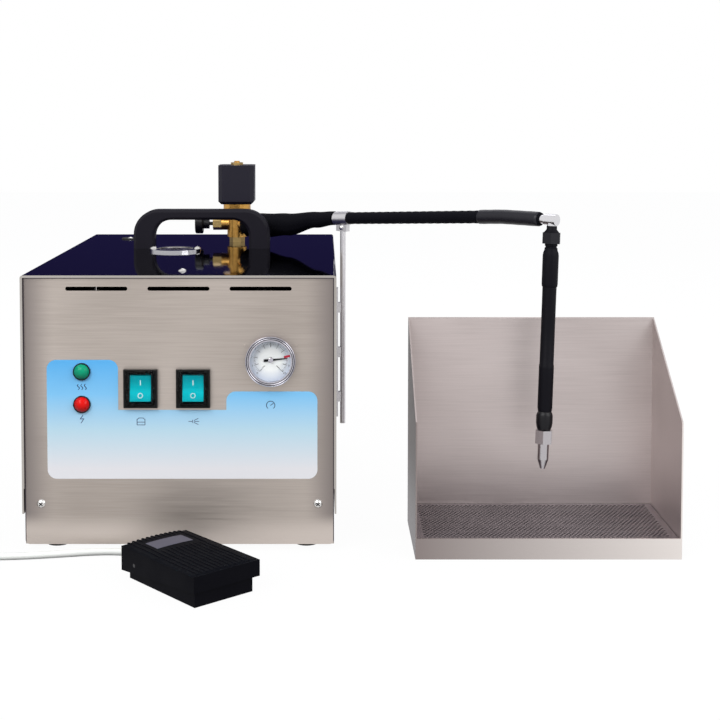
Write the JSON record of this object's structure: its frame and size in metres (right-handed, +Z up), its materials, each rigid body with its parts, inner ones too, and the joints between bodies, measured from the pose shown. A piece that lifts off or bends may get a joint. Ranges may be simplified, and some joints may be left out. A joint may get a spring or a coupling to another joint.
{
  "type": "jewelry steam cleaner",
  "caption": "Bench steam cleaner for jewelry: boiler casing with switches and gauge, solenoid valve, insulated arm with a hanging lance over a splash booth, and a foot pedal.",
  "frame": {"origin": "middle of the whole appliance on the table, its pedal cable and coil left out", "axes": "+X to the right along the front, +Y to the back, +Z up"},
  "size_m": [0.7003, 0.5321, 0.3255],
  "materials": {
    "casing_steel": "brushed",
    "polished_steel": "polished",
    "boiler_steel": "satin",
    "booth_steel": "brushed",
    "grille_steel": "perforated, dark",
    "brass": "machined",
    "label_film": "printed film, blue fading to white",
    "switch_black": "gloss",
    "black_plastic": "satin",
    "rocker_teal": "lit, translucent",
    "clear_cover": "clear soft plastic",
    "lamp_green": "translucent",
    "lamp_red": "translucent",
    "gauge_glass": "clear",
    "dial_white": "matt, printed",
    "needle_black": "matt",
    "copper": "drawn copper, stood in for by brass",
    "circuit_board": "gloss",
    "hose_black": "satin",
    "wrap_black": "woven",
    "rubber": "matt",
    "pedal_black": "moulded, satin",
    "cable_white": "soft, satin",
    "nut_black": "satin black"
  },
  "bodies": {
    "appliance": {"arm_boot": "hose_black", "arm_pipe": "polished_steel", "arm_sleeve": "hose_black", "arm_wrap": "wrap_black", "base_tray": "casing_steel", "boiler": "boiler_steel", "boiler_cradle": "boiler_steel", "boiler_switch": "switch_black", "booth": "booth_steel", "cable_coil": "cable_white", "cable_plug": "cable_white", "carry_handle": "black_plastic", "casing_screws": "polished_steel", "control_board": "circuit_board", "control_label": "label_film", "drain_plug": "brass", "fault_lamp": "lamp_red", "filler_ring": "polished_steel", "front_panel": "casing_steel", "gauge_case": "polished_steel", "gauge_dial": "dial_white", "gauge_glass": "gauge_glass", "gauge_pipe": "copper", "heating_element": "boiler_steel", "heating_lamp": "lamp_green", "lamp_bezels": "black_plastic", "mains_gland": "black_plastic", "outer_cover": "casing_steel", "pedal_base": "pedal_black", "pedal_cable": "cable_white", "pedal_gland": "cable_white", "pedal_pin": "polished_steel", "pedal_socket": "black_plastic", "pedal_spring": "polished_steel", "pedal_switch": "black_plastic", "pipe_clamp": "polished_steel", "pressure_switch": "brass", "rear_panel": "casing_steel", "rod_brackets": "casing_steel", "rubber_feet": "rubber", "safety_valve": "brass", "solenoid_coil": "switch_black", "steam_switch": "switch_black", "support_rod": "polished_steel", "switch_hoods": "clear_cover", "valve_body": "brass", "valve_nuts": "polished_steel"},
    "boiler_rocker": {"boiler_rocker": "rocker_teal"},
    "steam_rocker": {"steam_rocker": "rocker_teal"},
    "gauge_needle": {"gauge_needle": "needle_black"},
    "regulator_knob": {"regulator_knob": "black_plastic"},
    "filler_cap": {"filler_cap": "polished_steel"},
    "grille": {"grille": "grille_steel"},
    "lance": {"lance_elbow": "polished_steel", "lance_nut": "nut_black", "lance_tube": "hose_black", "lance_collar": "black_plastic", "nozzle": "polished_steel"},
    "pedal_treadle": {"pedal_treadle": "pedal_black"},
    "valve_plunger": {"valve_plunger": "polished_steel"}
  },
  "joints": [
    {"name": "boiler_rocker_turn", "type": "hinge", "parent": "appliance", "child": "boiler_rocker", "pos_m": [-0.1788, -0.12625, 0.1417], "axis": [1, 0, 0], "range_deg": [0, 14]},
    {"name": "steam_rocker_turn", "type": "hinge", "parent": "appliance", "child": "steam_rocker", "pos_m": [-0.1338, -0.12625, 0.1417], "axis": [1, 0, 0], "range_deg": [0, 14]},
    {"name": "gauge_needle_turn", "type": "hinge", "parent": "appliance", "child": "gauge_needle", "pos_m": [-0.0675, -0.12695, 0.1657], "axis": [0, 1, 0], "range_deg": [-219.2, 50.8]},
    {"name": "regulator_knob_turn", "type": "hinge", "parent": "appliance", "child": "regulator_knob", "pos_m": [-0.1402, 0.17065, 0.2585], "axis": [-1, 0, 0], "range_deg": [0, 720]},
    {"name": "filler_cap_lift", "type": "slide", "parent": "appliance", "child": "filler_cap", "axis": [0, 0, 1], "range_m": [0, 0.04]},
    {"name": "grille_lift", "type": "slide", "parent": "appliance", "child": "grille", "axis": [0, 0, 1], "range_m": [0, 0.04]},
    {"name": "lance_swing", "type": "hinge", "parent": "appliance", "child": "lance", "pos_m": [0.17721, -0.09957, 0.2842], "axis": [0.7337, -0.6794, 0], "range_deg": [-17, 15]},
    {"name": "pedal_treadle_tip", "type": "hinge", "parent": "appliance", "child": "pedal_treadle", "pos_m": [-0.15195, -0.1836, 0.013], "axis": [0.7547, 0.6561, 0], "range_deg": [0, 4], "stiffness_Nm_per_rad": 2, "springref_deg": -20.05, "deforming": ["pedal_spring"]},
    {"name": "valve_plunger_lift", "type": "slide", "parent": "appliance", "child": "valve_plunger", "axis": [0, 0, 1], "range_m": [0, 0.0025], "stiffness_N_per_m": 300, "springref_m": -0.008}
  ]
}
